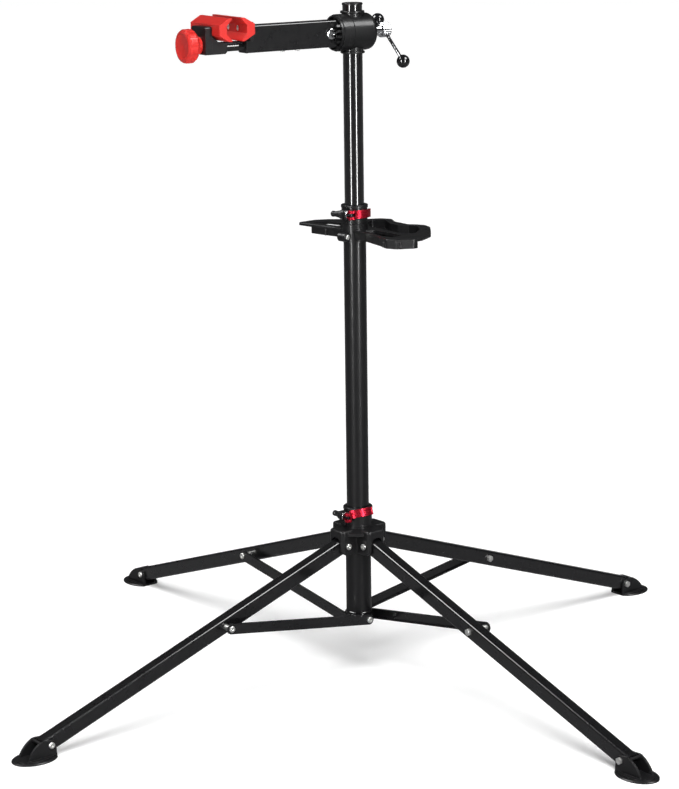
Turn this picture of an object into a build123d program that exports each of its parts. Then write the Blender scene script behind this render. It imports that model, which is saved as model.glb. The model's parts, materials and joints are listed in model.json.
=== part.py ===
from build123d import *
import os
from math import atan2, cos, degrees, hypot, radians, sin

# Bike repair stand. Millimetres, +Z up. The origin is on the floor under the pole's axis.
# The clamp arm points along -X, the T-handle along +X, and -Y is the working side.

BASE = (Align.CENTER, Align.CENTER, Align.MIN)
FIT = 0.05  # radial clearance of a running fit
TOUCH = 0.02  # clearance between pieces that are fixed together

# Pole
MAST_R = 17.5
MAST_WALL = 1.5
MAST_Z = (82.0, 744.0)
SLIDER_R = 15.0
SLIDER_WALL = 1.6
SLIDER_Z = (399.0, 1053.0)
SLEEVE_R = 20.0
SLEEVE_Z = (98.3, 256.0)
COLLAR_R = 20.5
COLLAR_Z = (78.0, 98.0)

# Folding base: one leg and its strut, measured along and across the leg's heading
LEG_HEADINGS = {"front_left": 187.5, "front_right": 277.5, "rear_right": 7.5, "rear_left": 97.5}
HUB_PIVOT = (33.5, 211.0)
STRUT_PIVOT_Z = 86.0
FOOT_BOLT = (593.0, 20.0)
LEG_RUN = hypot(FOOT_BOLT[0] - HUB_PIVOT[0], HUB_PIVOT[1] - FOOT_BOLT[1])
LEG_SLOPE = degrees(atan2(HUB_PIVOT[1] - FOOT_BOLT[1], FOOT_BOLT[0] - HUB_PIVOT[0]))
BRACE_DISTANCE = 251.9
BRACE_POINT = (HUB_PIVOT[0] + BRACE_DISTANCE * cos(radians(LEG_SLOPE)),
               HUB_PIVOT[1] - BRACE_DISTANCE * sin(radians(LEG_SLOPE)))
LEG_WIDTH = 20.0
LEG_HEIGHT = 24.0
LEG_WALL = 1.6
LEG_CORNER = 4.0
LEG_TAIL = 10.0
STRUT_LENGTH = hypot(BRACE_POINT[0], BRACE_POINT[1] - STRUT_PIVOT_Z)
STRUT_SLOPE = degrees(atan2(BRACE_POINT[1] - STRUT_PIVOT_Z, BRACE_POINT[0]))
STRUT_HEIGHT = 16.0
STRUT_SIDE = (21.2, 26.5)
STRUT_WALL = 1.5
BOLT_R = 3.0
HEAD_R = 5.0
HEAD_H = 2.6

# Hub
HUB_Z = (197.5, 238.0)
HUB_REACH = 46.0
HUB_CROWN_R = 39.0
HUB_HALF = 17.0
SLOT_TOP = 225.0

# Foot
FOOT_HALF = 27.0
FOOT_LONG = 36.0
FOOT_CENTRE = 21.0
FOOT_HEEL = 9.5
FOOT_PLATE = 2.6
CHEEK_HALF = 13.8

# Quick-release clamps, built with the lug along +X
CAM_Y = 11.0
CAM_R = 6.0
WASHER_R = 7.1
LEVER_SPAN = 112.0
OPEN_SWEEP = 60  # how far past square the lever's slot lets it swing open
UPPER_CLAMP = {"z": 721.0, "height": 28.0, "bolt_z": 736.0, "tilt": 0.0, "heading": 207.0, "offset": 25.5,
               "bore": MAST_R, "outer": 20.0, "seat": MAST_Z[1], "lip": SLIDER_R + FIT * 2}
LOWER_CLAMP = {"z": 238.0, "height": 31.0, "bolt_z": 256.5, "tilt": 17.0, "heading": 186.0, "offset": 27.8,
               "bore": SLEEVE_R, "outer": 22.3, "seat": SLEEVE_Z[1], "lip": MAST_R + FIT}

# Head and clamp arm; the arm's axis is level at AXIS_Z and "out" is the distance along -X
AXIS_Z = 1012.0
BARREL_R = 28.0
BARREL_X = (-20.0, 31.0)
HEAD_COLLAR_R = 18.5
HEAD_COLLAR_HALF = 32.0
ROTOR_OUT = (20.1, 34.0)
RIB_OUT = 41.0
ARM_OUT = (30.0, 189.5)
ARM_HALF = (12.0, 20.2)
ARM_WALL = 2.0
TONGUE_OUT = 58.0
PIVOT_SCREW_R = 5.0
ARM_BOLT_OUT = 45.0
SCREW_DROP = -5.0
SCREW_R = 3.5
GUIDE_Z = (-15.9, -10.3)
GUIDE_HALF = 7.0
JAW_HALF = 44.0
JAW_Z = (1.2, 35.2)
FIXED_BACK = 195.0
FIXED_TIP = 217.0
MOVING_TIP = 233.0
MOVING_BACK = 254.0
SLIDE_OUT = 80.0  # inner end of the lead screw and guide bar
NOTCH_DEPTH = 9.0
NOTCH_FLAT = 6.0
NOTCH_MOUTH = 15.2
CARRIAGE_OUT = (254.0, 265.0)
CARRIAGE_HALF = 21.0
CARRIAGE_Z = (-18.0, 23.0)
KNOB_OUT = (265.0, 294.0)
KNOB_R = 25.0

# T-handle
NECK_X = (31.0, 50.0)
NECK_R = 8.5
HANDLE_X = (49.0, 64.0)
HANDLE_R = 11.4
BAR_R = 2.5
BAR_TILT = 50.4
BALL_R = 10.0
BALL_OFFSETS = (-22.4, 69.0)

# Tool tray, outlined in its own axes: u leads away from the pole, v across
TRAY_HEADING = 274.0
TRAY_TOP = 711.0
TRAY_SKIN = 4.5
TRAY_DEPTH = 14.5
TRAY_FLOOR = 2.0
TRAY_BOSS_R = 20.3
TRAY_BOSS_Z = (692.0, 720.4)
TRAY_LUG_HEADING = 197.0
TRAY_LUG_OUT = 25.0
TRAY_LUG_Z = 701.0
TRAY_RIM = [(-108, -32), (-56, -23), (-30, -17), (0, -16), (42, -10), (85, -17), (112, -24),
            (128, -16), (140, 9), (136, 27), (119, 56), (91, 78), (62, 99), (44, 104), (30, 98),
            (20, 89), (-14, 89), (-38, 101), (-55, 92), (-64, 72), (-88, 40), (-103, 22), (-111, 2)]
TRAY_POCKET = [(2, 29), (79, 27), (96, 33), (93, 47), (72, 71), (45, 87), (28, 83), (16, 71),
               (-4, 71), (-34, 85), (-50, 68), (-24, 40)]
TRAY_NEAR_SLOT = [(28, -2), (60, -7), (84, -11), (103, -5), (101, 15), (66, 17), (34, 13)]
TRAY_WING_SLOT = [(-96, -14), (-60, -10), (-36, -3), (-44, 9), (-58, 17), (-82, 11)]
TRAY_NOTCHES = [(52, 94), (81, 75)]
TRAY_RIBS = [(-48, -20.5), (100, -19.4), (106, -20.9), (129.5, -9.5)]
SKIRT_U = (-79.0, 150.0)
SKIRT_END_V = 17.0

def box(x0, x1, y0, y1, z0, z1):
    centre = Pos((x0 + x1) / 2, (y0 + y1) / 2, (z0 + z1) / 2)
    return centre * Box(abs(x1 - x0), abs(y1 - y0), abs(z1 - z0))


def rod(radius, start, end):
    run = Vector(*end) - Vector(*start)
    return Plane(origin=start, z_dir=run) * Cylinder(radius, run.length, align=BASE)


def ring(outer, inner, z0, z1):
    return rod(outer, (0, 0, z0), (0, 0, z1)) - rod(inner, (0, 0, z0 - 1), (0, 0, z1 + 1))


def screw(start, direction, shank_r, shank_length, head_r, head_h):
    """A button-head screw whose head seats at start and whose shank runs against direction."""
    head = Cylinder(head_r, head_h, align=BASE)
    head = fillet(head.edges().group_by(Axis.Z)[-1], head_h * 0.55)
    socket = extrude(RegularPolygon(head_r * 0.42, 6), head_h)
    head -= Pos(0, 0, head_h * 0.5) * socket
    shank = Pos(0, 0, -shank_length) * Cylinder(shank_r, shank_length, align=BASE)
    return Plane(origin=start, z_dir=direction) * (head + shank)


def nut(start, direction, bore, across, height):
    body = extrude(RegularPolygon(across / 2, 6, major_radius=False), height)
    body -= Cylinder(bore, height * 3)
    return Plane(origin=start, z_dir=direction) * body


def turned(shape, angle):
    return Rot(0, 0, angle) * shape


# ---- pole ----

def mast_tube():
    tube = ring(MAST_R, MAST_R - MAST_WALL, *MAST_Z)
    slit = box(0, MAST_R + 2, -1, 1, MAST_Z[1] - 26, MAST_Z[1] + 1)
    return tube - turned(slit, UPPER_CLAMP["heading"])


def mast_plug():
    flange = rod(MAST_R - TOUCH, (0, 0, COLLAR_Z[0]), (0, 0, MAST_Z[0]))
    spigot = rod(MAST_R - MAST_WALL - TOUCH, (0, 0, MAST_Z[0]), (0, 0, MAST_Z[0] + 14))
    hollow = rod(MAST_R - 5, (0, 0, MAST_Z[0] - 1), (0, 0, MAST_Z[0] + 15))
    return flange + spigot - hollow


def strut_collar():
    collar = ring(COLLAR_R, MAST_R + TOUCH, *COLLAR_Z)
    collar = chamfer(collar.edges().group_by(Axis.Z)[-1], 0.8)
    for heading in LEG_HEADINGS.values():
        hole = rod(BOLT_R + TOUCH, (0, MAST_R - 2, STRUT_PIVOT_Z), (0, COLLAR_R + 2, STRUT_PIVOT_Z))
        collar -= turned(hole, heading)
    return collar


def collar_bolts():
    bolts = []
    for heading in LEG_HEADINGS.values():
        seat = (0, STRUT_SIDE[1] + TOUCH * 5, STRUT_PIVOT_Z)
        bolt = screw(seat, (0, 1, 0), BOLT_R, seat[1] - MAST_R - 0.1, HEAD_R, HEAD_H)
        bolts.append(turned(bolt, heading))
    return bolts


def collar_spacers():
    spacers = []
    for heading in LEG_HEADINGS.values():
        inner = (0, COLLAR_R + 0.1, STRUT_PIVOT_Z)
        outer = (0, STRUT_SIDE[1] - STRUT_WALL - 0.15, STRUT_PIVOT_Z)
        spacer = rod(6.0, inner, outer)
        spacer -= rod(BOLT_R + TOUCH, (0, COLLAR_R - 1, STRUT_PIVOT_Z), (0, 30, STRUT_PIVOT_Z))
        spacers.append(turned(spacer, heading))
    return spacers


def slider_tube():
    tube = ring(SLIDER_R, SLIDER_R - SLIDER_WALL, *SLIDER_Z)
    cross = rod(PIVOT_SCREW_R + FIT, (-SLIDER_R - 5, 0, AXIS_Z), (SLIDER_R + 5, 0, AXIS_Z))
    return tube - cross


def slider_cap():
    top = SLIDER_Z[1]
    disc = rod(SLIDER_R + 0.8, (0, 0, top), (0, 0, top + 3.0))
    disc = fillet(disc.edges().group_by(Axis.Z)[-1], 1.2)
    dish = rod(SLIDER_R - 2.5, (0, 0, top + 2.2), (0, 0, top + 4))
    spigot = rod(SLIDER_R - SLIDER_WALL - TOUCH, (0, 0, top - 12), (0, 0, top))
    hollow = rod(SLIDER_R - SLIDER_WALL - 2, (0, 0, top - 13), (0, 0, top - 0.5))
    return disc + spigot - dish - hollow


def guide_bush():
    low = SLIDER_Z[0]
    outer = MAST_R - MAST_WALL - FIT
    sleeve = ring(outer, SLIDER_R + FIT, low - 0.3, low + 34)
    lip = ring(outer, SLIDER_R - SLIDER_WALL - 1, low - 3, low - 0.3)
    return sleeve + lip


# ---- folding base ----

def hub_slot():
    """The leg's slot, cut outwards and downwards from the pole, with an arched mouth."""
    slot = Plane.YZ * Pos(0, SLOT_TOP - 30) * RectangleRounded(LEG_WIDTH + 1.2, 60, 3)
    mouth = Plane.YZ * Pos(0, SLOT_TOP - 30) * RectangleRounded(LEG_WIDTH + 1.2, 60, 9)
    return extrude(slot, HUB_REACH - 2) + extrude(mouth, HUB_REACH + 10)


def leg_hub():
    top = HUB_Z[1]
    shoulder = top - 6
    lobe = box(-HUB_REACH, HUB_REACH, -HUB_HALF, HUB_HALF, HUB_Z[0], shoulder)
    lobe = fillet(lobe.edges().filter_by(Axis.Z), 6)
    cheeks = Plane.XZ * Pos(0, HUB_Z[0] + 50) * RectangleRounded(2 * HUB_REACH, 100, 9)
    lobe &= extrude(cheeks, HUB_HALF, both=True)
    cap = extrude(Pos(0, 0, shoulder) * RectangleRounded(2 * HUB_REACH, 2 * HUB_HALF, 6), 5)
    cap = fillet(cap.edges().group_by(Axis.Z)[-1], 4.2)
    web = Pos(0, 0, shoulder - 4) * Cylinder(HUB_CROWN_R, 4, align=BASE)
    crown = Pos(0, 0, shoulder) * Cone(HUB_CROWN_R, 25, top - shoulder - 1, align=BASE)
    seat = rod(23.5, (0, 0, shoulder), (0, 0, top))
    core = rod(24.5, (0, 0, HUB_Z[0] + 4), (0, 0, shoulder))
    hub = lobe + cap
    hub += turned(hub, 90)
    hub += web + crown + seat + core
    for heading in (0, 90, 180, 270):
        hub -= turned(hub_slot(), heading)
        pivot = rod(BOLT_R + TOUCH, (HUB_PIVOT[0], -30, HUB_PIVOT[1]), (HUB_PIVOT[0], 30, HUB_PIVOT[1]))
        hub -= turned(pivot, heading)
    hub -= rod(SLEEVE_R + TOUCH, (0, 0, 0), (0, 0, 400))
    return turned(hub, LEG_HEADINGS["rear_right"])


def leg_pivot_bolts():
    bolts = []
    for heading in LEG_HEADINGS.values():
        for side in (-1, 1):
            seat = (HUB_PIVOT[0], side * HUB_HALF, HUB_PIVOT[1])
            length = 2 * HUB_HALF - 0.5 if side == 1 else 0.4
            bolts.append(turned(screw(seat, (0, side, 0), BOLT_R, length, HEAD_R, HEAD_H), heading))
    return bolts


def base_sleeve():
    sleeve = ring(SLEEVE_R, MAST_R + FIT, *SLEEVE_Z)
    slit = box(0, SLEEVE_R + 2, -1, 1, SLEEVE_Z[1] - 18, SLEEVE_Z[1] + 1)
    return sleeve - turned(slit, LOWER_CLAMP["heading"])


def leg_tube():
    """The leg along +X from its pivot, with a rounded inner end and a square tail."""
    end = LEG_RUN + LEG_TAIL
    half = LEG_HEIGHT / 2
    outline = Plane.YZ.offset(-half) * RectangleRounded(LEG_WIDTH, LEG_HEIGHT, LEG_CORNER)
    inside = RectangleRounded(LEG_WIDTH - 2 * LEG_WALL, LEG_HEIGHT - 2 * LEG_WALL, LEG_CORNER - LEG_WALL)
    tube = extrude(outline, end + half)
    tube -= extrude(Plane.YZ.offset(-half - 1) * inside, end + half + 2)
    keep = rod(half, (0, -LEG_WIDTH, 0), (0, LEG_WIDTH, 0))
    keep += box(0, end, -LEG_WIDTH, LEG_WIDTH, -half, half)
    tube = tube & keep
    tube -= rod(BOLT_R + FIT, (0, -LEG_WIDTH, 0), (0, LEG_WIDTH, 0))
    for distance in (BRACE_DISTANCE, LEG_RUN):
        tube -= rod(BOLT_R + TOUCH, (distance, -LEG_WIDTH, 0), (distance, LEG_WIDTH, 0))
    return Pos(HUB_PIVOT[0], 0, HUB_PIVOT[1]) * Rot(0, LEG_SLOPE, 0) * tube


def leg_bolts():
    """The through bolts that stay with the leg: the brace bolt's nut side and the foot bolt."""
    x, z = BRACE_POINT
    half = LEG_WIDTH / 2
    brace = rod(BOLT_R, (x, -half - 4.2, z), (x, half, z))
    brace = brace + nut((x, -half - TOUCH, z), (0, -1, 0), BOLT_R - 0.5, 9.5, 4.0)
    x, z = FOOT_BOLT
    foot = screw((x, CHEEK_HALF, z), (0, 1, 0), BOLT_R, 2 * CHEEK_HALF + 3, HEAD_R, HEAD_H)
    foot += nut((x, -CHEEK_HALF, z), (0, -1, 0), BOLT_R - 0.5, 9.5, 3.2)
    return [brace, foot]


def strut():
    """A channel that opens towards its leg, built along +X from its pivot on the pole."""
    half = STRUT_HEIGHT / 2
    side = STRUT_SIDE
    bar = box(-half, STRUT_LENGTH + half, side[0], side[1], -half, half)
    bar -= box(-half - 1, STRUT_LENGTH + half + 1, side[0] - 1, side[1] - STRUT_WALL,
               -half + STRUT_WALL, half - STRUT_WALL)
    keep = box(0, STRUT_LENGTH, side[0], side[1], -half, half)
    for x in (0, STRUT_LENGTH):
        keep += rod(half, (x, side[0], 0), (x, side[1], 0))
    bar = bar & keep
    bar -= rod(BOLT_R + FIT, (0, 0, 0), (0, 40, 0))
    bar -= rod(BOLT_R + TOUCH, (STRUT_LENGTH, 0, 0), (STRUT_LENGTH, 40, 0))
    return Pos(0, 0, STRUT_PIVOT_Z) * Rot(0, -STRUT_SLOPE, 0) * bar


def strut_bolt():
    """The brace bolt's head, shank and spacer. It stops just short of the leg's side."""
    x, z = BRACE_POINT
    near = LEG_WIDTH / 2 + 0.3
    web = STRUT_SIDE[1] - STRUT_WALL
    bolt = screw((x, STRUT_SIDE[1], z), (0, 1, 0), BOLT_R, STRUT_SIDE[1] - near, HEAD_R, 2.2)
    spacer = rod(4.6, (x, near, z), (x, web, z)) - rod(BOLT_R + TOUCH, (x, 0, z), (x, 40, z))
    return [bolt, spacer]


def foot_profile():
    """The cheek's side view: heel, bolt boss, ridge over the leg's end and an arc to the toe."""
    x, z = FOOT_BOLT
    ridge = (x + 17.5, z + 7.4)
    toe = (x + 41, FOOT_PLATE)
    edges = Line((x - FOOT_HEEL, 0), (x - FOOT_HEEL + 1, z - 6))
    edges += ThreePointArc((x - FOOT_HEEL + 1, z - 6), (x - 6, z + 5), (x + 2, z + 7.6))
    edges += Line((x + 2, z + 7.6), (x + 13, z + 8.4)) + Line((x + 13, z + 8.4), ridge)
    edges += ThreePointArc(ridge, (x + 30.5, z - 1.5), toe)
    edges += Line(toe, (toe[0], 0)) + Line((toe[0], 0), (x - FOOT_HEEL, 0))
    return make_face(Plane.XZ * edges)


def foot_plate(inset, height):
    x = FOOT_BOLT[0]
    pad = Pos(x + FOOT_CENTRE, 0, 0) * extrude(Ellipse(FOOT_LONG - inset, FOOT_HALF - inset), height)
    return pad & box(x - FOOT_HEEL + inset * 0.3, x + 90, -60, 60, -1, 20)


def foot():
    x, z = FOOT_BOLT
    half = LEG_WIDTH / 2 + TOUCH
    cheeks = extrude(foot_profile(), CHEEK_HALF, both=True)
    cheeks -= box(x - 60, x + 90, -half, half, 0, 80)
    plate = foot_plate(0, FOOT_PLATE)
    plate = chamfer(plate.edges().group_by(Axis.Z)[-1], 0.9)
    body = plate + foot_plate(5, FOOT_PLATE + 1.8) + cheeks
    body -= Pos(x, 0, z) * Rot(0, LEG_SLOPE, 0) * box(-60, LEG_TAIL + 1, -half, half, -30, 30)
    body += plate
    body += rod(2.6, (x + 16.3, -CHEEK_HALF, z + 5.4), (x + 16.3, CHEEK_HALF, z + 5.4))
    body -= rod(BOLT_R + TOUCH, (x, -30, z), (x, 30, z))
    return body


# ---- quick-release clamps ----

def clamp_collar(spec):
    """A split collar with a rim and a lug, and a lip that closes on the inner tube."""
    z0 = spec["z"]
    top = z0 + spec["height"]
    outer = spec["outer"]
    middle = spec["bolt_z"]
    x = spec["offset"]
    rim = rod(outer + 0.9, (0, 0, top - 4), (0, 0, top))
    body = rod(outer, (0, 0, z0), (0, 0, top - 4))
    body += fillet(rim.edges().group_by(Axis.Z)[-1], 1.2)
    body += rod(outer + 0.6, (0, 0, z0), (0, 0, z0 + 3))
    lug = box(0, x + 6.5, -6, 3.5, middle - 8, middle + 8)
    body += fillet(lug.edges().filter_by(Axis.Y).group_by(Axis.X)[-1], 6.4)
    body -= rod(spec["lip"], (0, 0, z0 - 1), (0, 0, top + 1))
    body -= rod(spec["bore"] + TOUCH, (0, 0, z0 - 1), (0, 0, spec["seat"] + 0.1))
    for y0, y1 in ((-30, -6), (3.5, 20)):
        body -= rod(WASHER_R + 0.3, (x, y0, middle), (x, y1, middle))
    body -= box(0, 60, -2.0, -0.4, z0 - 1, top + 1)
    body -= rod(2.6 + TOUCH, (x, -20, middle), (x, 20, middle))
    return turned(body, spec["heading"])


def cam_bolt(spec):
    """The clamp's bolt with an eye, and the upright pin that the lever turns on."""
    z = spec["bolt_z"]
    x = spec["offset"]
    bolt = rod(2.6, (x, -20, z), (x, CAM_Y - 2.2, z))
    eye = rod(2.6, (x, CAM_Y, z - 1.9), (x, CAM_Y, z + 1.9))
    pin_hole = rod(1.5 + TOUCH, (x, CAM_Y, z - 9), (x, CAM_Y, z + 9))
    neck = box(x - 1.9, x + 1.9, CAM_Y - 4, CAM_Y, z - 1.9, z + 1.9)
    bolt = bolt + neck + eye - pin_hole
    pin = rod(1.5, (x, CAM_Y, z - 8), (x, CAM_Y, z + 8))
    return [turned(bolt, spec["heading"]), turned(pin, spec["heading"])]


def cam_washer(spec):
    z = spec["bolt_z"]
    x = spec["offset"]
    washer = rod(WASHER_R, (x, 3.55, z), (x, 4.9, z))
    washer = fillet(washer.edges().group_by(Axis.Y)[-1], 0.6)
    washer -= rod(2.6 + TOUCH, (x, 0, z), (x, 9, z))
    return turned(washer, spec["heading"])


def adjuster(spec):
    """A ribbed conical nut on the bolt's far end."""
    z = spec["bolt_z"]
    x = spec["offset"]
    profile = Polyline((0, 0), (WASHER_R, 0), (WASHER_R, 2.6), (6.0, 3.4), (4.0, 13.5), (4.6, 14.4), (4.6, 18),
                       (3.4, 19.5), (0, 19.5), close=True)
    nose = revolve(Plane.XZ * make_face(profile), Axis.Z)
    for step in range(10):
        nose -= turned(Pos(WASHER_R, 0, -1) * Cylinder(0.9, 5, align=BASE), step * 36)
    nose = Plane(origin=(x, -6.05, z), z_dir=(0, -1, 0)) * nose
    nose -= rod(2.6 + TOUCH, (x, 0, z), (x, -20.2, z))
    return turned(nose, spec["heading"])


def cam_lever(spec):
    """A round cam head with a hand lever that wraps the collar."""
    z = spec["bolt_z"]
    x = spec["offset"]
    inner = spec["outer"] + 1.3
    outer = inner + 2.9
    head = rod(CAM_R, (x, CAM_Y, z - 7.2), (x, CAM_Y, z + 7.2))
    head = fillet(head.edges(), 0.8)
    wedge = [(0, 0)]
    for angle in (25, 60, 90, LEVER_SPAN):
        wedge.append((80 * cos(radians(angle)), 80 * sin(radians(angle))))
    sector = extrude(make_face(Polyline(*wedge, close=True)), 40)
    band = ring(outer, inner, z - 6.2, z + 6.2) & (Pos(0, 0, z - 20) * sector)
    tip = (outer - 1.5) * cos(radians(LEVER_SPAN)), (outer - 1.5) * sin(radians(LEVER_SPAN))
    grip = rod(2.5, (*tip, z - 6.2), (*tip, z + 6.2))
    grip = grip - rod(inner, (0, 0, z - 9), (0, 0, z + 9))
    sweep = Pos(0, 0, z) * Rot(spec["tilt"], 0, 0) * Pos(0, 0, -z) * (band + grip)
    lever = head + (sweep if spec["tilt"] else band + grip)
    lever -= rod(spec["outer"] + 1.2, (0, 0, z - 30), (0, 0, z + 30))
    lever -= rod(1.5 + FIT, (x, CAM_Y, z - 20), (x, CAM_Y, z + 20))
    slot = box(-3, 20, -12, 2.8, -2.8, 2.8)
    for angle in range(15, OPEN_SWEEP + 1, 15):
        slot += turned(box(0, 12, -2.8, 2.8, -2.8, 2.8), angle)
    return turned(lever - Pos(x, CAM_Y, z) * slot, spec["heading"])


# ---- tool tray ----

def tray_face(points, radius, grow=0.0):
    face = fillet(make_face(Polyline(*points, close=True)).vertices(), radius)
    return offset(face, grow) if grow else face



def tray_lug():
    lug = rod(7.2, (TRAY_LUG_OUT, -8, TRAY_LUG_Z), (TRAY_LUG_OUT, 6.5, TRAY_LUG_Z))
    lug += box(15, TRAY_LUG_OUT, -8, 6.5, TRAY_LUG_Z - 7.2, TRAY_LUG_Z + 7.2)
    return turned(lug, TRAY_LUG_HEADING - TRAY_HEADING)


def tray_lug_cuts():
    hole = rod(2 + TOUCH, (TRAY_LUG_OUT, -6.6, TRAY_LUG_Z), (TRAY_LUG_OUT, 10, TRAY_LUG_Z))
    slit = box(MAST_R - 1, TRAY_LUG_OUT + 9, -1.6, -0.4, TRAY_BOSS_Z[0] - 1, TRAY_TOP - TRAY_SKIN)
    return turned(hole + slit, TRAY_LUG_HEADING - TRAY_HEADING)


def tray_body():
    under = TRAY_TOP - TRAY_SKIN
    low = TRAY_TOP - TRAY_DEPTH
    rim = tray_face(TRAY_RIM, 5)
    rim = extrude(rim, TRAY_SKIN)
    rim = chamfer(rim.edges().group_by(Axis.Z)[-1], 1.0)
    skirt = tray_face(TRAY_RIM, 5, -1) - tray_face(TRAY_RIM, 5, -3.4)
    skirt = extrude(skirt, TRAY_DEPTH) & box(*SKIRT_U, -60, SKIRT_END_V, 0, TRAY_DEPTH - TRAY_SKIN + 1)
    body = Pos(0, 0, under) * rim + Pos(0, 0, low) * skirt
    for u, v in TRAY_RIBS:
        body += rod(1.7, (u, v, low), (u, v, under + 1))
    tub = tray_face(TRAY_POCKET, 5, 2.2)
    return body + Pos(0, 0, low) * extrude(tub, TRAY_DEPTH - 0.5)


def tray_slots():
    """Tool slots in the wing and along the near side, and two notches in the far rim."""
    cuts = tray_face(TRAY_NEAR_SLOT, 3) + tray_face(TRAY_WING_SLOT, 3)
    for u, v in TRAY_NOTCHES:
        cuts += Pos(u, v) * Rot(0, 0, 52) * RectangleRounded(13, 5, 2.2)
    return Pos(0, 0, TRAY_TOP - TRAY_SKIN - 1) * extrude(cuts, TRAY_SKIN + 3)


def tool_tray():
    tray = tray_body()
    pocket = tray_face(TRAY_POCKET, 5)
    tray -= Pos(0, 0, TRAY_TOP - TRAY_DEPTH + TRAY_FLOOR) * extrude(pocket, TRAY_DEPTH)
    tray -= tray_slots()
    tray += rod(TRAY_BOSS_R, (0, 0, TRAY_BOSS_Z[0]), (0, 0, TRAY_BOSS_Z[1]))
    tray += tray_lug()
    tray -= rod(MAST_R + FIT, (0, 0, TRAY_BOSS_Z[0] - 9), (0, 0, TRAY_BOSS_Z[1] + 9))
    return Rot(0, 0, TRAY_HEADING) * (tray - tray_lug_cuts())


def tray_screw():
    fastener = screw((TRAY_LUG_OUT, 6.5, TRAY_LUG_Z), (0, 1, 0), 2, 13, 4.0, 2.6)
    return turned(fastener, TRAY_LUG_HEADING)


# ---- head and T-handle ----

def head_body():
    barrel = rod(BARREL_R, (BARREL_X[0], 0, AXIS_Z), (BARREL_X[1], 0, AXIS_Z))
    barrel = fillet(barrel.edges().group_by(Axis.X)[-1], 9)
    low = AXIS_Z - HEAD_COLLAR_HALF
    high = AXIS_Z + HEAD_COLLAR_HALF
    collar = rod(HEAD_COLLAR_R - 2.2, (0, 0, low), (0, 0, high))
    for z in (low, high - 3.5):
        flange = rod(HEAD_COLLAR_R, (0, 0, z), (0, 0, z + 3.5))
        collar += fillet(flange.edges().filter_by(GeomType.CIRCLE), 1.0)
    head = barrel + collar
    groove = ring(BARREL_R + 5, BARREL_R - 0.9, -0.7, 0.7)
    head -= Pos(-12, 0, AXIS_Z) * Rot(0, 90, 0) * groove
    head -= rod(SLIDER_R + TOUCH, (0, 0, low - 5), (0, 0, high + 5))
    head -= rod(PIVOT_SCREW_R + FIT, (-60, 0, AXIS_Z), (60, 0, AXIS_Z))
    return head


def handle_screw():
    """The clamp screw: a knurled hub, a plain neck and the shank that pulls in the rotor."""
    hub = rod(HANDLE_R, (HANDLE_X[0], 0, AXIS_Z), (HANDLE_X[1], 0, AXIS_Z))
    hub = chamfer(hub.edges().filter_by(GeomType.CIRCLE), 1.2)
    neck = rod(NECK_R, (NECK_X[0] + FIT, 0, AXIS_Z), (NECK_X[1], 0, AXIS_Z))
    hub += chamfer(neck.edges().group_by(Axis.X)[0], 1)
    hub += rod(PIVOT_SCREW_R, (-33, 0, AXIS_Z), (HANDLE_X[0], 0, AXIS_Z))
    for step in range(24):
        angle = radians(step * 15)
        y = (HANDLE_R + 0.35) * cos(angle)
        z = AXIS_Z + (HANDLE_R + 0.35) * sin(angle)
        hub -= rod(0.8, (HANDLE_X[0] - 1, y, z), (HANDLE_X[1] + 1, y, z))
    start, end = bar_point(-40), bar_point(40)
    return hub - rod(BAR_R + FIT, start, end)


def bar_point(distance):
    x = (HANDLE_X[0] + HANDLE_X[1]) / 2
    y = -distance * sin(radians(BAR_TILT))
    return x, y, AXIS_Z - distance * cos(radians(BAR_TILT))


def tommy_bar():
    return rod(BAR_R, bar_point(BALL_OFFSETS[0]), bar_point(BALL_OFFSETS[1]))


def bar_balls():
    balls = []
    for distance in BALL_OFFSETS:
        ball = Pos(*bar_point(distance)) * Sphere(BALL_R)
        inwards = distance - BALL_R * 1.4 * (1 if distance > 0 else -1)
        ball -= rod(BAR_R + TOUCH, bar_point(distance), bar_point(inwards))
        balls.append(ball)
    return balls


# ---- arm and bike clamp; x = -out ----

def out_box(out0, out1, y0, y1, z0, z1):
    return box(-out1, -out0, y0, y1, AXIS_Z + z0, AXIS_Z + z1)


def arm_rotor():
    disc = rod(BARREL_R, (-ROTOR_OUT[1] + 4, 0, AXIS_Z), (-ROTOR_OUT[0], 0, AXIS_Z))
    cup = rod(BARREL_R - 1.5, (-ROTOR_OUT[1], 0, AXIS_Z), (-ROTOR_OUT[1] + 4, 0, AXIS_Z))
    cup -= rod(BARREL_R - 4, (-ROTOR_OUT[1] - 1, 0, AXIS_Z), (-ROTOR_OUT[1] + 4, 0, AXIS_Z))
    rotor = disc + cup
    for side in (0, 180):
        for step in (-30, -10, 10, 30):
            rib = box(-RIB_OUT, -ROTOR_OUT[1] + 4, -1.7, 1.7, 18.5, BARREL_R - 3.5)
            rotor += Pos(0, 0, AXIS_Z) * Rot(90 + side + step, 0, 0) * rib
    rotor -= out_box(ARM_OUT[0] - TOUCH, 100, -ARM_HALF[0] - TOUCH, ARM_HALF[0] + TOUCH,
                     -ARM_HALF[1] - TOUCH, ARM_HALF[1] + TOUCH)
    tongue_y = ARM_HALF[0] - ARM_WALL - TOUCH * 5
    tongue_z = ARM_HALF[1] - ARM_WALL - TOUCH * 5
    rotor += out_box(ROTOR_OUT[0] + 5, TONGUE_OUT, -tongue_y, tongue_y, -tongue_z, tongue_z)
    rotor -= rod(PIVOT_SCREW_R + FIT, (-34, 0, AXIS_Z), (0, 0, AXIS_Z))
    rotor -= rod(4 + TOUCH, (-ARM_BOLT_OUT, -40, AXIS_Z), (-ARM_BOLT_OUT, 40, AXIS_Z))
    return rotor


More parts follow.
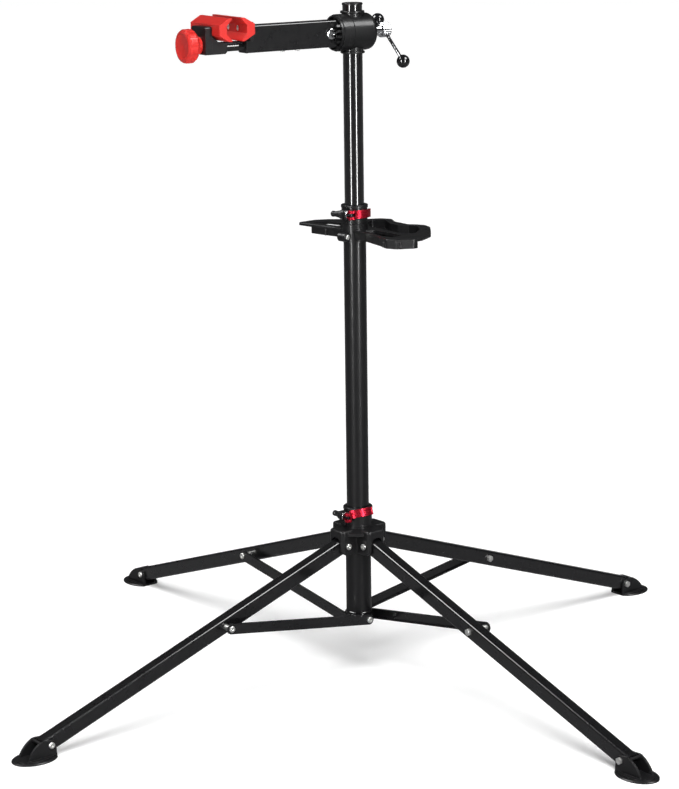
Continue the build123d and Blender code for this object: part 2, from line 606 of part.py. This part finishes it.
def arm_tube():
    outline = Plane.YZ * RectangleRounded(2 * ARM_HALF[0], 2 * ARM_HALF[1], 2.6)
    inside = Plane.YZ * Rectangle(2 * (ARM_HALF[0] - ARM_WALL), 2 * (ARM_HALF[1] - ARM_WALL))
    tube = extrude(outline - inside, ARM_OUT[1] - ARM_OUT[0])
    tube = Pos(-ARM_OUT[1], 0, AXIS_Z) * tube
    tube -= rod(4 + TOUCH, (-ARM_BOLT_OUT, -40, AXIS_Z), (-ARM_BOLT_OUT, 40, AXIS_Z))
    for out in (98, 123):
        low = AXIS_Z - ARM_HALF[1] - 2
        tube -= rod(2 + TOUCH, (-out, 0, low), (-out, 0, low + 6))
    return tube


def arm_bolt():
    bolt = screw((-ARM_BOLT_OUT, -ARM_HALF[0], AXIS_Z), (0, -1, 0), 4, 2 * ARM_HALF[0] + 5, 8.5, 3.4)
    bolt += nut((-ARM_BOLT_OUT, ARM_HALF[0], AXIS_Z), (0, 1, 0), 3.5, 13, 3.4)
    return bolt


def arm_screws():
    low = AXIS_Z - ARM_HALF[1]
    return [screw((-out, 0, low), (0, 0, -1), 2, 2.9, 3.6, 2.2) for out in (98, 123)]


def nut_block():
    """The threaded block inside the arm that the lead screw and guide bar run through."""
    y = ARM_HALF[0] - ARM_WALL - TOUCH * 5
    z = ARM_HALF[1] - ARM_WALL - TOUCH * 5
    block = out_box(92, 135, -y, y, -z, z)
    for out in (98, 123):
        block -= rod(2 + TOUCH, (-out, 0, AXIS_Z - 30), (-out, 0, AXIS_Z - z + 8))
    return cut_slides(block)


def cut_slides(block):
    axis_z = AXIS_Z + SCREW_DROP
    block -= rod(SCREW_R + FIT, (-400, 0, axis_z), (0, 0, axis_z))
    guide = GUIDE_HALF + FIT
    block -= out_box(0, 400, -guide, guide, GUIDE_Z[0] - FIT, GUIDE_Z[1] + FIT)
    return block


def jaw_outline(back, tip):
    """Half an octagon with a V notch, in the plane of "out" and height."""
    sign = 1 if back < tip else -1
    middle = (JAW_Z[0] + JAW_Z[1]) / 2
    half = (JAW_Z[1] - JAW_Z[0]) / 2
    depth = abs(tip - back)
    apex = depth - NOTCH_DEPTH
    points = [(0, -7.5), (depth - 5, -half), (depth, -half), (depth, -NOTCH_MOUTH),
              (apex, -NOTCH_FLAT), (apex, NOTCH_FLAT), (depth, NOTCH_MOUTH), (depth, half),
              (depth - 5, half), (0, 7.5)]
    placed = [(-(back + sign * p), AXIS_Z + middle + q) for p, q in points]
    return make_face(Plane.XZ * Polyline(*placed, close=True))


def fixed_jaw():
    jaw = extrude(jaw_outline(FIXED_BACK, FIXED_TIP), JAW_HALF, both=True)
    middle = AXIS_Z + (JAW_Z[0] + JAW_Z[1]) / 2
    for y in (-14, 14):
        jaw -= rod(2.5 + TOUCH, (-230, y, middle), (-150, y, middle))
        jaw -= rod(4.6 + TOUCH, (-230, y, middle), (-FIXED_TIP + NOTCH_DEPTH + 3.2, y, middle))
    return jaw


def jaw_bracket():
    """The plug in the arm's end, with the plate that carries the fixed jaw."""
    y = ARM_HALF[0] - ARM_WALL - TOUCH * 5
    z = ARM_HALF[1] - ARM_WALL - TOUCH * 5
    bracket = out_box(170, ARM_OUT[1] + 1, -y, y, -z, z)
    bracket += out_box(ARM_OUT[1] + TOUCH, FIXED_BACK - TOUCH, -30, 30, -0.9, 27)
    bracket += out_box(ARM_OUT[1] + TOUCH, ARM_OUT[1] + 2, -ARM_HALF[0], ARM_HALF[0],
                       -ARM_HALF[1], 0.2)
    bracket = cut_slides(bracket)
    middle = AXIS_Z + (JAW_Z[0] + JAW_Z[1]) / 2
    for y in (-14, 14):
        bracket -= rod(2.5 + TOUCH, (-230, y, middle), (-150, y, middle))
    return bracket


def jaw_screws():
    middle = AXIS_Z + (JAW_Z[0] + JAW_Z[1]) / 2
    seat = -FIXED_TIP + NOTCH_DEPTH + 3.2
    return [screw((seat, y, middle), (-1, 0, 0), 2.5, 13, 4.5, 2.6) for y in (-14, 14)]


def moving_jaw():
    return extrude(jaw_outline(MOVING_BACK, MOVING_TIP), JAW_HALF, both=True)


def carriage():
    plate = out_box(CARRIAGE_OUT[0] + TOUCH, CARRIAGE_OUT[1], -CARRIAGE_HALF, CARRIAGE_HALF, *CARRIAGE_Z)
    plate = fillet(plate.edges().filter_by(Axis.X), 4)
    low = AXIS_Z + CARRIAGE_Z[0]
    side = Polyline((-CARRIAGE_OUT[1], low), (-232, low), (-229, low + 3), (-229, AXIS_Z - 4.5),
                    (-243, AXIS_Z - 0.4), (-CARRIAGE_OUT[0], AXIS_Z + 9.1),
                    (-CARRIAGE_OUT[1], AXIS_Z + 9.1), close=True)
    bracket = extrude(make_face(Plane.XZ * side), CARRIAGE_HALF - 0.2, both=True)
    block = plate + bracket
    block -= rod(SCREW_R + FIT, (-400, 0, AXIS_Z + SCREW_DROP), (0, 0, AXIS_Z + SCREW_DROP))
    block -= out_box(0, CARRIAGE_OUT[1] - 3, -GUIDE_HALF - TOUCH, GUIDE_HALF + TOUCH,
                     GUIDE_Z[0] - TOUCH, GUIDE_Z[1] + TOUCH)
    return block


def guide_bar():
    return out_box(SLIDE_OUT, CARRIAGE_OUT[1] - 3 - TOUCH, -GUIDE_HALF, GUIDE_HALF, *GUIDE_Z)


def lead_screw():
    z = AXIS_Z + SCREW_DROP
    return rod(SCREW_R, (-KNOB_OUT[1] + 8, 0, z), (-SLIDE_OUT, 0, z))


def clamp_knob():
    z = AXIS_Z + SCREW_DROP
    start = KNOB_OUT[0] + 0.2
    profile = Polyline((0, 0), (13, 0), (13, 7), (19, 8.2), (22.7, 10.4), (KNOB_R, 13.8), (KNOB_R, 23.4),
                       (23.2, 26.4), (19.5, 27.9), (16, 26.7), (0, 24.8), close=True)
    knob = revolve(Plane.XZ * make_face(profile), Axis.Z)
    for step in range(12):
        knob -= turned(Pos(KNOB_R + 6.9, 0, 8) * Cylinder(7.6, 17, align=BASE), step * 30)
    knob = Plane(origin=(-start, 0, z), z_dir=(-1, 0, 0)) * knob
    return knob - rod(SCREW_R + TOUCH, (-KNOB_OUT[1] + 8 - TOUCH, 0, z), (0, 0, z))


def make_nodes():
    nodes = {
        "main_tube": mast_tube(), "tube_end_plug": mast_plug(), "strut_collar": strut_collar(),
        "collar_bolts": collar_bolts(), "collar_spacers": collar_spacers(),
        "upper_tube": slider_tube(), "upper_tube_cap": slider_cap(), "guide_bush": guide_bush(),
        "leg_hub": leg_hub(), "leg_pivot_bolts": leg_pivot_bolts(), "base_sleeve": base_sleeve(),
        "tool_tray": tool_tray(), "tray_screw": tray_screw(),
        "head_body": head_body(), "handle_screw": handle_screw(),
        "tommy_bar": tommy_bar(), "bar_balls": bar_balls(),
        "arm_rotor": arm_rotor(), "arm_tube": arm_tube(), "arm_bolt": arm_bolt(),
        "arm_screws": arm_screws(), "nut_block": nut_block(), "jaw_bracket": jaw_bracket(),
        "fixed_jaw": fixed_jaw(), "jaw_screws": jaw_screws(), "moving_jaw": moving_jaw(),
        "carriage": carriage(), "guide_bar": guide_bar(), "lead_screw": lead_screw(),
        "clamp_knob": clamp_knob(),
    }
    for name, spec in (("upper", UPPER_CLAMP), ("lower", LOWER_CLAMP)):
        nodes[name + "_collar"] = clamp_collar(spec)
        nodes[name + "_cam_bolt"] = cam_bolt(spec)
        nodes[name + "_cam_washer"] = cam_washer(spec)
        nodes[name + "_adjuster"] = adjuster(spec)
        nodes[name + "_lever"] = cam_lever(spec)
    pieces = {"leg": leg_tube(), "leg_bolts": leg_bolts(), "foot": foot(), "strut": strut(),
              "strut_bolt": strut_bolt()}
    for corner, heading in LEG_HEADINGS.items():
        for piece, shape in pieces.items():
            solids = shape if isinstance(shape, list) else [shape]
            nodes[corner + "_" + piece] = [turned(solid, heading) for solid in solids]
    return nodes


os.makedirs("parts", exist_ok=True)
for node, shape in make_nodes().items():
    solids = shape if isinstance(shape, list) else [shape]
    export_step(Compound(children=solids) if len(solids) > 1 else solids[0], "parts/" + node + ".step")
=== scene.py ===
import json
from math import cos, pi, radians, sin

import bmesh
import bpy
from mathutils import Matrix, Vector


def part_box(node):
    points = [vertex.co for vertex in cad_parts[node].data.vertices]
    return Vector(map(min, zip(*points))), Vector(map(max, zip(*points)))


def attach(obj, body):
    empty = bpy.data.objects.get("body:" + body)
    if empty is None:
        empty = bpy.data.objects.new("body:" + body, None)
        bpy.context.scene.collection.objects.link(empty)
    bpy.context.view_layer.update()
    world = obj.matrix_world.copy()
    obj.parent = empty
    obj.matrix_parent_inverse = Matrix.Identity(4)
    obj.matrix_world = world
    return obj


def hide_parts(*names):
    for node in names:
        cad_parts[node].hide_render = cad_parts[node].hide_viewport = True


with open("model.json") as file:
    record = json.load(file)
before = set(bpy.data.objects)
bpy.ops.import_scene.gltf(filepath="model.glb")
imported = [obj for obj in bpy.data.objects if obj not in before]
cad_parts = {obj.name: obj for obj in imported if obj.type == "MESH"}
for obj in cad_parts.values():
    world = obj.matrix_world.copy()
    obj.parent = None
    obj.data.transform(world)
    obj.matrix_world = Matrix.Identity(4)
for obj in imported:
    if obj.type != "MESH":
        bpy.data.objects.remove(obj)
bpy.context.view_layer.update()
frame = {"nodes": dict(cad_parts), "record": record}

NODES = frame["nodes"]


# ---- node helpers ----

def add(tree, kind, inputs=None, **settings):
    """Adds a shader node, and links or sets its inputs by name or index."""
    node = tree.nodes.new("ShaderNode" + kind)
    for key, value in settings.items():
        setattr(node, key, value)
    for key, value in (inputs or {}).items():
        if isinstance(value, bpy.types.NodeSocket):
            tree.links.new(value, node.inputs[key])
        else:
            node.inputs[key].default_value = value
    return node


def noise(tree, place, scale, detail, rough=0.5):
    inputs = {"Vector": place, "Scale": scale, "Detail": detail, "Roughness": rough}
    return add(tree, "TexNoise", inputs).outputs["Fac"]


def remap(tree, value, low, high, to_low, to_high):
    inputs = {"Value": value, 1: low, 2: high, 3: to_low, 4: to_high}
    return add(tree, "MapRange", inputs).outputs[0]


def mix(tree, factor, first, second):
    return add(tree, "MixRGB", {"Fac": factor, "Color1": first, "Color2": second}).outputs[0]


def maths(tree, operation, first, second):
    return add(tree, "Math", {0: first, 1: second}, operation=operation).outputs[0]


def tint(colour, gain=1.0):
    return (colour[0] * gain, colour[1] * gain, colour[2] * gain, 1)


# ---- materials ----

# rough is the range of roughness, coat and metal are weights, grain is in cells per metre,
# depth is the grain's height in metres, streak is in cells per metre along x, y and z, and
# the last two entries are a lighter edge colour and how much of it shows, partly wear and partly
# painted highlight
LOOKS = {
    "gloss_black_paint": dict(
        colour=(0.0035, 0.0035, 0.004), rough=(0.2, 0.32), coat=1.0, grain=420, depth=0.00001,
        streak=(900, 900, 4), worn_and_highlit=(0.05, 0.05, 0.052), wear_and_highlight=0.25),
    "satin_black_paint": dict(
        colour=(0.0045, 0.0045, 0.005), rough=(0.24, 0.36), coat=0.9, grain=1500, depth=0.00004,
        streak=(70, 70, 70), worn_and_highlit=(0.075, 0.075, 0.08), wear_and_highlight=0.5),
    "soft_black_paint": dict(
        colour=(0.0045, 0.0045, 0.005), rough=(0.3, 0.42), coat=0.4, grain=1500, depth=0.00004,
        streak=(70, 70, 70), worn_and_highlit=(0.075, 0.075, 0.08), wear_and_highlight=0.3),
    "black_plastic": dict(
        colour=(0.007, 0.007, 0.0075), rough=(0.34, 0.48), coat=0.25, grain=2300, depth=0.00008,
        streak=(40, 40, 40), worn_and_highlit=(0.06, 0.06, 0.063), wear_and_highlight=0.55),
    "zinc_steel": dict(
        colour=(0.72, 0.72, 0.70), rough=(0.26, 0.42), metal=1.0, grain=1200, depth=0.00002,
        streak=(500, 500, 500), worn_and_highlit=(0.85, 0.85, 0.84), wear_and_highlight=0.6),
    "black_oxide": dict(
        colour=(0.03, 0.03, 0.033), rough=(0.25, 0.4), metal=0.8, grain=1500, depth=0.00002,
        streak=(30, 500, 500), worn_and_highlit=(0.2, 0.2, 0.2), wear_and_highlight=0.5),
    "chrome": dict(
        colour=(0.62, 0.63, 0.64), rough=(0.05, 0.14), metal=1.0, grain=700, depth=0.000008,
        streak=(300, 300, 300), worn_and_highlit=(0.95, 0.95, 0.95), wear_and_highlight=0.5),
    "black_ball": dict(
        colour=(0.006, 0.006, 0.007), rough=(0.06, 0.12), coat=0.8, grain=240, depth=0.00001,
        streak=(120, 120, 120), worn_and_highlit=(0.02, 0.02, 0.02), wear_and_highlight=0.1),
    "red_anodised": dict(
        colour=(0.30, 0.008, 0.020), rough=(0.22, 0.36), metal=0.75, grain=1600, depth=0.00002,
        streak=(60, 60, 1500), worn_and_highlit=(0.62, 0.10, 0.12), wear_and_highlight=0.6),
    "red_plastic": dict(
        colour=(0.56, 0.022, 0.018), rough=(0.30, 0.44), coat=0.2, grain=1300, depth=0.00004,
        streak=(45, 45, 45), worn_and_highlit=(0.85, 0.10, 0.07), wear_and_highlight=0.5),
    "nut_brass": dict(
        colour=(0.62, 0.44, 0.17), rough=(0.22, 0.4), metal=1.0, grain=900, depth=0.00003,
        streak=(30, 600, 600), worn_and_highlit=(0.85, 0.68, 0.34), wear_and_highlight=0.5),
}
EDGE_RADIUS = 0.0005  # how far the lighter edge colour (partly wear, partly painted highlight) and the rounding reach in from a sharp edge, in metres
EDGE_AGREEMENT = (0.80, 0.995)  # cosine between rounded and flat normals, from worn and highlit edge to plain
DRIFT_SCALE, PATCH_SCALE, DUST_SCALE = 11, 140, 620  # noise cells per metre
DRIFT_GAIN = (0.72, 1.3)  # darkest and lightest share of the colour
PATCH_NOISE, PATCH_WEAR_AND_HIGHLIGHT = (0.42, 0.62), (0.15, 1.0)  # noise values, and the wear and painted edge highlight they give
DUST_NOISE, DUST_AMOUNT = (0.66, 0.80), (0.0, 0.015)
DUST_COLOUR = (0.30, 0.30, 0.30, 1)
STREAK_NOISE = (0.3, 0.7)
STREAK_HEIGHT = 0.4  # as a share of the grain's height
BUMP_STRENGTH = 0.6
WORN_ROUGHNESS = 0.12  # added along the worn and highlit edges
SPECULAR = 0.15
HARD_COAT = 0.6  # a coat above this weight is a hard, clear one
HARD_COAT_ROUGHNESS, SOFT_COAT_ROUGHNESS = 0.06, 0.16
WHITE = (1.0, 1.0, 1.0)
FLOOR_TONES = (0.90, 0.93)
FLOOR_LIFT = 0.20  # glow that only the camera sees
FLOOR_REFLECTED = (0.22, 0.22, 0.225, 1)


def surface(name, colour, rough, grain, depth, streak, worn_and_highlit, wear_and_highlight, metal=0.0, coat=0.0):
    """Broad tone drift, directional streaks in the gloss, sprayed grain, dust, and a lighter edge
    colour that is partly rubbed wear and partly a painted highlight.
    """
    made = bpy.data.materials.new(name)
    made.use_nodes = True
    tree = made.node_tree
    bsdf = tree.nodes["Principled BSDF"]
    place = add(tree, "TexCoord").outputs["Object"]

    rounded = add(tree, "Bevel", {"Radius": EDGE_RADIUS}, samples=4).outputs[0]
    flat = add(tree, "NewGeometry").outputs["Normal"]
    dot = add(tree, "VectorMath", {0: rounded, 1: flat}, operation="DOT_PRODUCT")
    # painted highlight: this edge mask puts a lighter colour on edges, partly as rubbed wear and
    # partly as a painted highlight
    edges = remap(tree, dot.outputs["Value"], *EDGE_AGREEMENT, 1.0, 0.0)
    patches = remap(tree, noise(tree, place, PATCH_SCALE, 4, 0.7), *PATCH_NOISE, *PATCH_WEAR_AND_HIGHLIGHT)
    rubbed_and_highlit = maths(tree, "MULTIPLY", maths(tree, "MULTIPLY", edges, patches), wear_and_highlight)

    drift = noise(tree, place, DRIFT_SCALE, 4, 0.6)
    base = mix(tree, drift, tint(colour, DRIFT_GAIN[0]), tint(colour, DRIFT_GAIN[1]))
    tone = mix(tree, rubbed_and_highlit, base, tint(worn_and_highlit))
    if not metal:
        specks = noise(tree, place, DUST_SCALE, 5, 0.8)
        dust = remap(tree, specks, *DUST_NOISE, *DUST_AMOUNT)
        tone = mix(tree, dust, tone, DUST_COLOUR)
    tree.links.new(tone, bsdf.inputs["Base Color"])

    scaled = add(tree, "Mapping", {"Vector": place, "Scale": streak}).outputs[0]
    lines = noise(tree, scaled, 1, 5, 0.65)
    gloss = remap(tree, lines, *STREAK_NOISE, *rough)
    duller = maths(tree, "MULTIPLY", rubbed_and_highlit, WORN_ROUGHNESS)
    tree.links.new(maths(tree, "ADD", gloss, duller), bsdf.inputs["Roughness"])

    sprayed = noise(tree, place, grain, 3, 0.6)
    height = maths(tree, "ADD", sprayed, maths(tree, "MULTIPLY", lines, STREAK_HEIGHT))
    relief = {"Strength": BUMP_STRENGTH, "Distance": depth, "Height": height, "Normal": rounded}
    tree.links.new(add(tree, "Bump", relief).outputs[0], bsdf.inputs["Normal"])

    bsdf.inputs["Metallic"].default_value = metal
    bsdf.inputs["Specular IOR Level"].default_value = SPECULAR
    bsdf.inputs["Coat Weight"].default_value = coat
    coat_rough = HARD_COAT_ROUGHNESS if coat > HARD_COAT else SOFT_COAT_ROUGHNESS
    bsdf.inputs["Coat Roughness"].default_value = coat_rough
    return made


def floor_material():
    """Pale to the camera and the lights, and darker in reflections, so black paint stays black."""
    made = bpy.data.materials.new("studio_floor")
    made.use_nodes = True
    tree = made.node_tree
    bsdf = tree.nodes["Principled BSDF"]
    place = add(tree, "TexCoord").outputs["Object"]
    tone = mix(tree, noise(tree, place, 3, 4), *(tint(WHITE, gain) for gain in FLOOR_TONES))
    tree.links.new(tone, bsdf.inputs["Base Color"])
    bsdf.inputs["Roughness"].default_value = 0.7
    bsdf.inputs["Specular IOR Level"].default_value = 0.1
    rays = add(tree, "LightPath").outputs
    lift = maths(tree, "MULTIPLY", rays["Is Camera Ray"], FLOOR_LIFT)
    glow = add(tree, "Emission", {"Color": tint(WHITE), "Strength": lift}).outputs[0]
    pale = add(tree, "AddShader", {0: bsdf.outputs[0], 1: glow}).outputs[0]
    dark = add(tree, "BsdfDiffuse", {"Color": FLOOR_REFLECTED}).outputs[0]
    both = add(tree, "MixShader", {0: rays["Is Glossy Ray"], 1: pale, 2: dark}).outputs[0]
    tree.links.new(both, tree.nodes["Material Output"].inputs["Surface"])
    return made


MATERIALS = {slot: surface(slot, **look) for slot, look in LOOKS.items()}


def dress(piece, slot):
    piece.data.materials.clear()
    piece.data.materials.append(MATERIALS[slot])


def piece_from(name, mesh_builder, slot, body):
    """Makes one smooth-shaded piece from a bmesh and lets it ride on a body."""
    data = bpy.data.meshes.new(name)
    shape = bmesh.new()
    mesh_builder(shape)
    bmesh.ops.recalc_face_normals(shape, faces=shape.faces)
    shape.to_mesh(data)
    shape.free()
    for face in data.polygons:
        face.use_smooth = True
    made = bpy.data.objects.new(name, data)
    bpy.context.scene.collection.objects.link(made)
    dress(made, slot)
    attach(made, body)
    return made


# ---- detail pieces ----

PITCH = 0.004
ROOT_SHARE = 0.84  # root radius over crest radius
RINGS_PER_TURN, POINTS_AROUND = 10, 24
RUNOUT_TURNS = 0.6  # the thread fades out over this part of a turn at each end
FLANK_SLOPE, ROOT_FLAT = 5, 0.6  # a flat root, a flank and a flat crest


def thread(shape, start, length, root, crest):
    """A solid helical thread along +X: rings of points whose radius follows the screw's profile."""
    step = PITCH / RINGS_PER_TURN
    rings = int(length / step)
    loops = []
    for i in range(rings + 1):
        runout = min(1.0, min(i, rings - i) * step / (PITCH * RUNOUT_TURNS))
        loop = []
        for j in range(POINTS_AROUND):
            angle = 2 * pi * j / POINTS_AROUND
            phase = (i * step / PITCH - j / POINTS_AROUND) % 1
            flank = (0.5 - abs(phase - 0.5)) * FLANK_SLOPE - ROOT_FLAT
            radius = root + (crest - root) * max(0.0, min(1.0, flank)) * runout
            point = Vector((i * step, radius * cos(angle), radius * sin(angle)))
            loop.append(shape.verts.new(start + point))
        loops.append(loop)
    for low, high in zip(loops, loops[1:]):
        for j in range(POINTS_AROUND):
            k = (j + 1) % POINTS_AROUND
            shape.faces.new((low[j], low[k], high[k], high[j]))
    shape.faces.new(loops[0])
    shape.faces.new(reversed(loops[-1]))


def lead_screw():
    """The threaded rod of the clamp, in place of the plain one, turning with the knob."""
    low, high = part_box("lead_screw")
    centre_z = (low.z + high.z) / 2
    radius = (high.z - low.z) / 2
    start = Vector((low.x, 0, centre_z))

    def build(shape):
        thread(shape, start, high.x - low.x, radius * ROOT_SHARE, radius)

    made = piece_from("lead_screw_thread", build, "black_oxide", "knob")
    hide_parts("lead_screw")


# ---- stage ----

FLOOR_REACH = 60  # metres
ROOM_COLOUR = (0.62, 0.62, 0.63, 1)
ROOM_STRENGTH = 0.08
BACKDROP_STRENGTH = 1.05
SUN_STRENGTH, SUN_SPREAD = 3.0, radians(40)
SUN_LEAN = (radians(18), radians(-14), 0)

# camera: place in metres, lens and sensor in mm, shift as a share of the sensor
CAMERA_PLACE = (-2.015, -3.225, 1.3286)
HEADING, TILT, ROLL = radians(59.23), radians(-12.70), radians(-0.92)
SENSOR_WIDTH, LENS = 36, 113.9
SHIFT = (0.0447, -0.0174)

# name, place, target, width, height, power in watts, mirrored
SOFTBOXES = (
    ("left_strip", (-3.19, -1.43, 1.3), (0, 0, 0.7), 0.26, 2.6, 140, True),
    ("right_strip", (0.26, -3.49, 1.3), (0, 0, 0.7), 0.30, 2.6, 150, True),
    ("left_high", (-2.5, 1.75, 3.9), (0, 0, 0), 2.2, 2.0, 230, True),
    ("right_high", (1.75, -2.35, 4.1), (0, 0, 0), 2.0, 2.0, 230, True),
    ("front_key", (-1.4, -3.6, 2.2), (0, 0, 0.8), 2.0, 2.0, 130, False),
)


def floor():
    data = bpy.data.meshes.new("floor")
    far = FLOOR_REACH
    corners = [(-far, -far, 0), (far, -far, 0), (far, far, 0), (-far, far, 0)]
    data.from_pydata(corners, [], [(0, 1, 2, 3)])
    made = bpy.data.objects.new("floor", data)
    made.data.materials.append(floor_material())
    bpy.context.scene.collection.objects.link(made)


def softbox(name, place, target, width, height, power, mirrored):
    """A mirrored box shows only in reflections, and the others only light what they fall on."""
    data = bpy.data.lights.new(name, "AREA")
    data.shape = "RECTANGLE"
    data.size = width
    data.size_y = height
    data.energy = power
    made = bpy.data.objects.new(name, data)
    made.location = place
    facing = Vector(target) - Vector(place)
    made.rotation_euler = facing.to_track_quat("-Z", "Y").to_euler()
    made.visible_glossy = mirrored
    made.visible_diffuse = not mirrored
    made.visible_camera = False
    bpy.context.scene.collection.objects.link(made)


def sky_panel():
    """A very soft overhead lamp, for the shading and the faint shadow on the floor."""
    data = bpy.data.lights.new("sky_panel", "SUN")
    data.energy = SUN_STRENGTH
    data.angle = SUN_SPREAD
    made = bpy.data.objects.new("sky_panel", data)
    made.rotation_euler = SUN_LEAN
    made.visible_glossy = False
    bpy.context.scene.collection.objects.link(made)


def surroundings():
    """White behind the object for the camera, and a dim grey room for everything else."""
    world = bpy.data.worlds.new("studio")
    bpy.context.scene.world = world
    world.use_nodes = True
    tree = world.node_tree
    tree.nodes.clear()
    seen = add(tree, "LightPath").outputs["Is Camera Ray"]
    room = add(tree, "Background", {"Color": ROOM_COLOUR, "Strength": ROOM_STRENGTH}).outputs[0]
    bright = {"Color": tint(WHITE), "Strength": BACKDROP_STRENGTH}
    backdrop = add(tree, "Background", bright).outputs[0]
    both = add(tree, "MixShader", {0: seen, 1: room, 2: backdrop}).outputs[0]
    add(tree, "OutputWorld", {"Surface": both})


def camera():
    data = bpy.data.cameras.new("camera")
    data.sensor_width = SENSOR_WIDTH
    data.lens = LENS
    data.shift_x, data.shift_y = SHIFT
    data.clip_end = 200
    made = bpy.data.objects.new("camera", data)
    made.location = CAMERA_PLACE
    ahead = Vector((cos(HEADING) * cos(TILT), sin(HEADING) * cos(TILT), sin(TILT)))
    facing = ahead.to_track_quat("-Z", "Y").to_matrix() @ Matrix.Rotation(ROLL, 3, "Z")
    made.rotation_euler = facing.to_euler()
    bpy.context.scene.collection.objects.link(made)
    bpy.context.scene.camera = made


# ---- the scene ----

def slot_of(part):
    """The material slot of a node, with a duller paint on the lower tubes and dark cam bolts."""
    node = part["node"]
    if node in ("main_tube", "base_sleeve"):
        return "soft_black_paint"
    return "black_oxide" if node.endswith("cam_bolt") else part["material_slot"]


for part in frame["record"]["subparts"]:
    dress(NODES[part["node"]], slot_of(part))
lead_screw()
floor()
surroundings()
sky_panel()
for box in SOFTBOXES:
    softbox(*box)
camera()
bpy.context.scene.view_settings.view_transform = "Standard"
